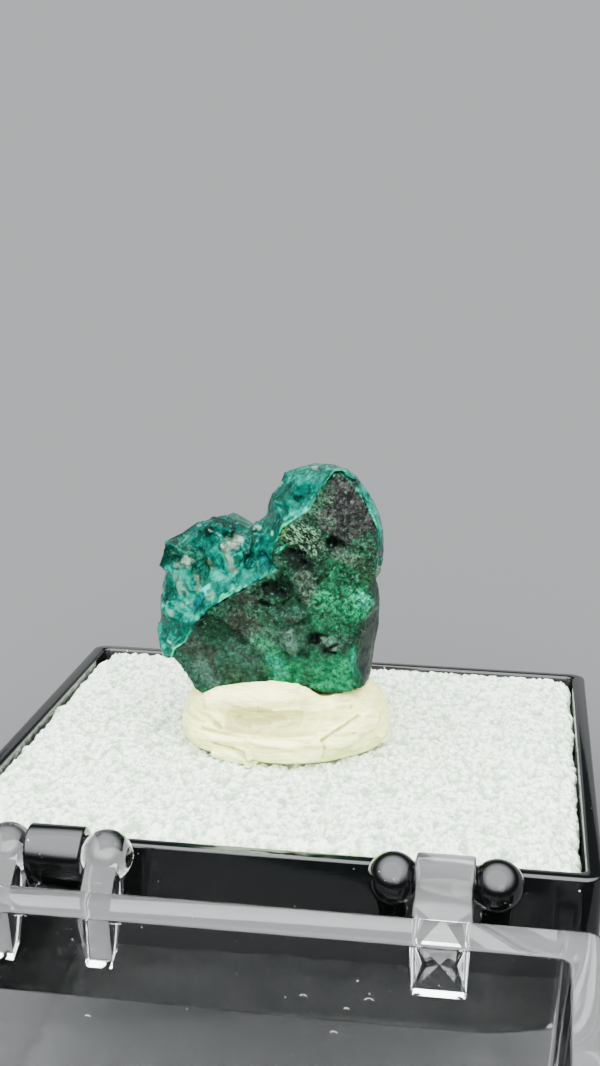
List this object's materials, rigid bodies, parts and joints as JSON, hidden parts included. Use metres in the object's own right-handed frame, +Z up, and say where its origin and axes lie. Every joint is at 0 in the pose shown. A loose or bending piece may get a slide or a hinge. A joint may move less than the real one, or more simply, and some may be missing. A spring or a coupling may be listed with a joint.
{
  "type": "dioptase mineral specimen in a hinged thumbnail display box",
  "caption": "Teal dioptase crystals on a grey-green matrix, set in ivory putty on a white foam pad in a small black tray with a clear lid that hinges right over and lies open.",
  "frame": {"origin": "middle of the bottom of the open box's bounding box, on the surface it lies on", "axes": "+X along the hinge, to the right as the matrix face is looked at; +Y from the lid to the tray, away from the viewer; +Z up. The lid lies flat on its plate and the tray leans from the hinge down to the surface"},
  "size_m": [0.0318, 0.0652, 0.0281],
  "materials": {
    "black_plastic": "glossy black moulded polystyrene",
    "clear_plastic": "water-clear moulded polystyrene with fine scratches",
    "white_foam": "white, finely beaded, matte",
    "ivory_putty": "smooth kneaded putty with a soft sheen",
    "green_grey_rock": "sparkling granular grey-green",
    "dioptase": "vitreous translucent teal green"
  },
  "bodies": {
    "base": {"tray_base": "black_plastic", "foam_pad": "white_foam", "mineral_putty": "ivory_putty", "host_rock": "green_grey_rock", "dioptase_crystals": "dioptase"},
    "lid": {"clear_lid": "clear_plastic"}
  },
  "joints": [
    {"name": "lid_hinge", "type": "hinge", "parent": "base", "child": "lid", "pos_m": [0, 0.00153, 0.02125], "axis": [-1, 0, 0], "range_deg": [0, 203.59]}
  ]
}
